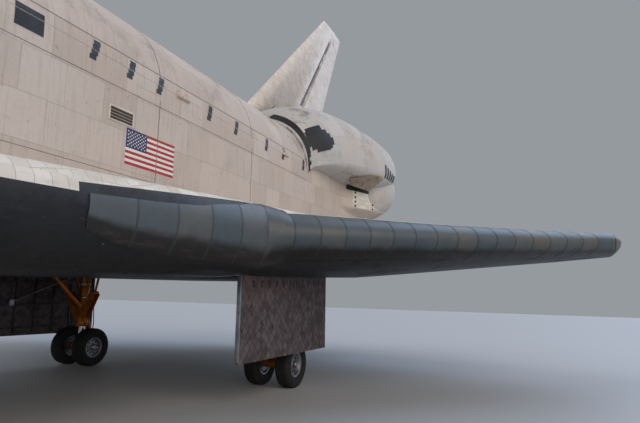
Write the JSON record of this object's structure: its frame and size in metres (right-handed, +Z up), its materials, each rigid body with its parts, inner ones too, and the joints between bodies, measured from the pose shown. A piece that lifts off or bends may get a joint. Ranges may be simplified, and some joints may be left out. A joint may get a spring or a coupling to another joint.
{
  "type": "space shuttle orbiter",
  "caption": "Winged spaceplane parked on its landing gear, with a payload bay under two long doors, a cabin, swinging control surfaces and gimballed engines.",
  "frame": {"origin": "centre of the floor area under the parked vehicle, on the floor", "axes": "+Y aft along its length, nose to -Y, +X to port, +Z up"},
  "size_m": [23.7896, 36.7014, 17.2866],
  "materials": {
    "white_tile": "matte",
    "black_tile": "matte",
    "carbon_panel": "satin",
    "window_glass": "polished",
    "nozzle_metal": "satin",
    "structure_metal": "satin",
    "gear_strut": "satin",
    "tyre_rubber": "matte",
    "wheel_metal": "satin"
  },
  "bodies": {
    "airframe": {"nose_cap": "carbon_panel", "forward_fuselage": "white_tile", "windshield_front_left": "window_glass", "windshield_front_right": "window_glass", "windshield_middle_left": "window_glass", "windshield_middle_right": "window_glass", "windshield_side_left": "window_glass", "windshield_side_right": "window_glass", "overhead_window_left": "window_glass", "overhead_window_right": "window_glass", "flight_deck": "structure_metal", "mid_fuselage": "white_tile", "aft_fuselage": "white_tile", "thrust_structure": "structure_metal", "orbital_pod_left": "white_tile", "orbital_engine_left": "nozzle_metal", "orbital_pod_right": "white_tile", "orbital_engine_right": "nozzle_metal", "wing_left": "black_tile", "leading_edge_left": "carbon_panel", "wing_right": "black_tile", "leading_edge_right": "carbon_panel", "fin": "white_tile", "nose_gear_strut": "gear_strut", "nose_gear_door_left": "black_tile", "nose_gear_door_right": "black_tile", "main_gear_strut_left": "gear_strut", "main_gear_door_left": "black_tile", "main_gear_strut_right": "gear_strut", "main_gear_door_right": "black_tile"},
    "nose_fork": {"nose_steering_fork": "gear_strut"},
    "nose_wheels": {"nose_axle": "wheel_metal", "nose_tyre_left": "tyre_rubber", "nose_tyre_right": "tyre_rubber"},
    "main_wheels_left": {"main_axle_left": "wheel_metal", "main_tyre_outer_left": "tyre_rubber", "main_tyre_inner_left": "tyre_rubber"},
    "main_wheels_right": {"main_axle_right": "wheel_metal", "main_tyre_outer_right": "tyre_rubber", "main_tyre_inner_right": "tyre_rubber"},
    "elevon_inboard_left": {"elevon_inboard_left": "black_tile"},
    "elevon_outboard_left": {"elevon_outboard_left": "black_tile"},
    "elevon_inboard_right": {"elevon_inboard_right": "black_tile"},
    "elevon_outboard_right": {"elevon_outboard_right": "black_tile"},
    "body_flap": {"body_flap": "black_tile"},
    "rudder_shaft": {"rudder_shaft": "structure_metal"},
    "rudder_panel_left": {"rudder_panel_left": "white_tile"},
    "rudder_panel_right": {"rudder_panel_right": "white_tile"},
    "payload_bay_door_left": {"payload_bay_door_left": "white_tile"},
    "payload_bay_door_right": {"payload_bay_door_right": "white_tile"},
    "crew_hatch": {"crew_hatch": "white_tile", "crew_hatch_window": "window_glass"},
    "gimbal_upper": {"gimbal_upper": "structure_metal"},
    "main_engine_upper": {"main_engine_upper": "nozzle_metal"},
    "gimbal_left": {"gimbal_left": "structure_metal"},
    "main_engine_left": {"main_engine_left": "nozzle_metal"},
    "gimbal_right": {"gimbal_right": "structure_metal"},
    "main_engine_right": {"main_engine_right": "nozzle_metal"}
  },
  "joints": [
    {"name": "nose_steering", "type": "hinge", "parent": "airframe", "child": "nose_fork", "pos_m": [0, -14.63964, 1.26889], "axis": [0, -0.0419, 0.9991], "range_deg": [-10, 10]},
    {"name": "nose_wheels_roll", "type": "hinge", "parent": "nose_fork", "child": "nose_wheels", "pos_m": [0, -14.60348, 0.40604], "axis": [1, 0, 0], "continuous": true},
    {"name": "main_wheels_left_roll", "type": "hinge", "parent": "airframe", "child": "main_wheels_left", "pos_m": [3.4544, 5.57517, 0.56479], "axis": [1, 0, 0], "continuous": true},
    {"name": "main_wheels_right_roll", "type": "hinge", "parent": "airframe", "child": "main_wheels_right", "pos_m": [-3.4544, 5.57517, 0.56479], "axis": [1, 0, 0], "continuous": true},
    {"name": "elevon_inboard_left_swing", "type": "hinge", "parent": "airframe", "child": "elevon_inboard_left", "pos_m": [3.0988, 10.92177, 3.40875], "axis": [0.9981, -0.0026, 0.0618], "range_deg": [-20, 35]},
    {"name": "elevon_outboard_left_swing", "type": "hinge", "parent": "airframe", "child": "elevon_outboard_left", "pos_m": [7.9629, 10.90914, 3.71006], "axis": [0.9981, -0.0026, 0.0618], "range_deg": [-20, 35]},
    {"name": "elevon_inboard_right_swing", "type": "hinge", "parent": "airframe", "child": "elevon_inboard_right", "pos_m": [-3.0988, 10.92177, 3.40875], "axis": [0.9981, 0.0026, -0.0618], "range_deg": [-20, 35]},
    {"name": "elevon_outboard_right_swing", "type": "hinge", "parent": "airframe", "child": "elevon_outboard_right", "pos_m": [-7.9629, 10.90914, 3.71006], "axis": [0.9981, 0.0026, -0.0618], "range_deg": [-20, 35]},
    {"name": "body_flap_swing", "type": "hinge", "parent": "airframe", "child": "body_flap", "pos_m": [0, 14.7221, 3.71919], "axis": [1, 0, 0], "range_deg": [-22.5, 11.7]},
    {"name": "rudder_turn", "type": "hinge", "parent": "airframe", "child": "rudder_shaft", "pos_m": [0, 13.30626, 11.03232], "axis": [0, 0.5421, 0.8403], "range_deg": [-27.1, 27.1]},
    {"name": "speed_brake_left", "type": "hinge", "parent": "rudder_shaft", "child": "rudder_panel_left", "pos_m": [0, 13.30626, 11.03232], "axis": [0, -0.5421, -0.8403], "range_deg": [0, 49.3]},
    {"name": "speed_brake_right", "type": "hinge", "parent": "rudder_shaft", "child": "rudder_panel_right", "pos_m": [0, 13.30626, 11.03232], "axis": [0, -0.5421, -0.8403], "range_deg": [-49.3, 0]},
    {"name": "payload_door_left_swing", "type": "hinge", "parent": "airframe", "child": "payload_bay_door_left", "pos_m": [2.6797, -0.43872, 6.36324], "axis": [0, 0.9991, 0.0419], "range_deg": [0, 175.5]},
    {"name": "payload_door_right_swing", "type": "hinge", "parent": "airframe", "child": "payload_bay_door_right", "pos_m": [-2.6797, -0.43872, 6.36324], "axis": [0, -0.9991, -0.0419], "range_deg": [0, 175.5]},
    {"name": "crew_hatch_swing", "type": "hinge", "parent": "airframe", "child": "crew_hatch", "pos_m": [2.51375, -11.69374, 3.76876], "axis": [0, 0.9991, 0.0419], "range_deg": [0, 90]},
    {"name": "engine_upper_yaw", "type": "hinge", "parent": "airframe", "child": "gimbal_upper", "pos_m": [0, 12.22568, 7.47875], "axis": [0, -0.3156, 0.9489], "range_deg": [-8.5, 8.5]},
    {"name": "engine_upper_pitch", "type": "hinge", "parent": "gimbal_upper", "child": "main_engine_upper", "pos_m": [0, 12.22568, 7.47875], "axis": [1, 0, 0], "range_deg": [-10.5, 10.5]},
    {"name": "engine_left_yaw", "type": "hinge", "parent": "airframe", "child": "gimbal_left", "pos_m": [1.3462, 12.92123, 4.95551], "axis": [-0.0106, -0.2144, 0.9767], "range_deg": [-8.5, 8.5]},
    {"name": "engine_left_pitch", "type": "hinge", "parent": "gimbal_left", "child": "main_engine_left", "pos_m": [1.3462, 12.92123, 4.95551], "axis": [0.9981, -0.061, -0.0026], "range_deg": [-10.5, 10.5]},
    {"name": "engine_right_yaw", "type": "hinge", "parent": "airframe", "child": "gimbal_right", "pos_m": [-1.3462, 12.92123, 4.95551], "axis": [0.0106, -0.2144, 0.9767], "range_deg": [-8.5, 8.5]},
    {"name": "engine_right_pitch", "type": "hinge", "parent": "gimbal_right", "child": "main_engine_right", "pos_m": [-1.3462, 12.92123, 4.95551], "axis": [0.9981, 0.061, 0.0026], "range_deg": [-10.5, 10.5]}
  ],
  "couplings": [
    {"joint": "speed_brake_right", "follows": "speed_brake_left", "ratio": -1}
  ]
}
